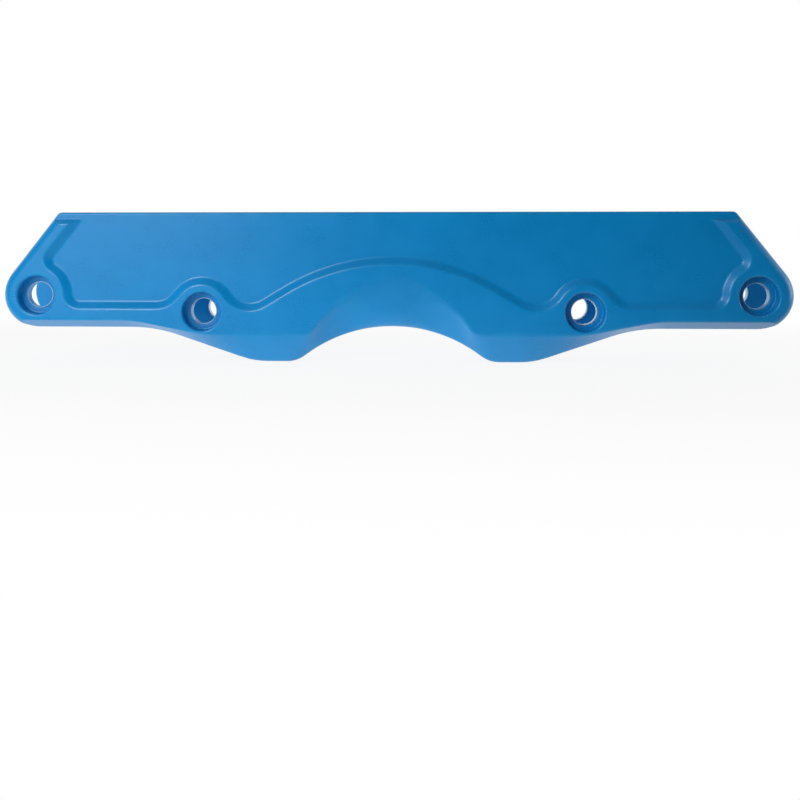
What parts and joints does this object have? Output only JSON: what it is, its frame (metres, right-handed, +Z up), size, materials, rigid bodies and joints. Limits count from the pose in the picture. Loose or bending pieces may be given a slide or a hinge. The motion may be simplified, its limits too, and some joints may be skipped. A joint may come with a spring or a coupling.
{
  "type": "inline skate frame",
  "caption": "Moulded two-bolt inline skate frame: two side walls with recessed panels, a wheel channel open at both ends, a grinding groove, and sleeved axle holes.",
  "frame": {"origin": "middle of the boot mounting plane, halfway between the two boot bolts", "axes": "+X along the frame towards the front, +Y to the left, +Z up towards the boot"},
  "size_m": [0.3134, 0.046, 0.06],
  "materials": {
    "moulded_blue": "satin moulded nylon",
    "sleeve_metal": "turned and polished"
  },
  "bodies": {
    "root": {"frame_body": "moulded_blue", "sleeve_front_outer_left": "sleeve_metal", "sleeve_front_outer_right": "sleeve_metal", "sleeve_front_inner_left": "sleeve_metal", "sleeve_front_inner_right": "sleeve_metal", "sleeve_rear_inner_left": "sleeve_metal", "sleeve_rear_inner_right": "sleeve_metal", "sleeve_rear_outer_left": "sleeve_metal", "sleeve_rear_outer_right": "sleeve_metal"}
  },
  "joints": []
}
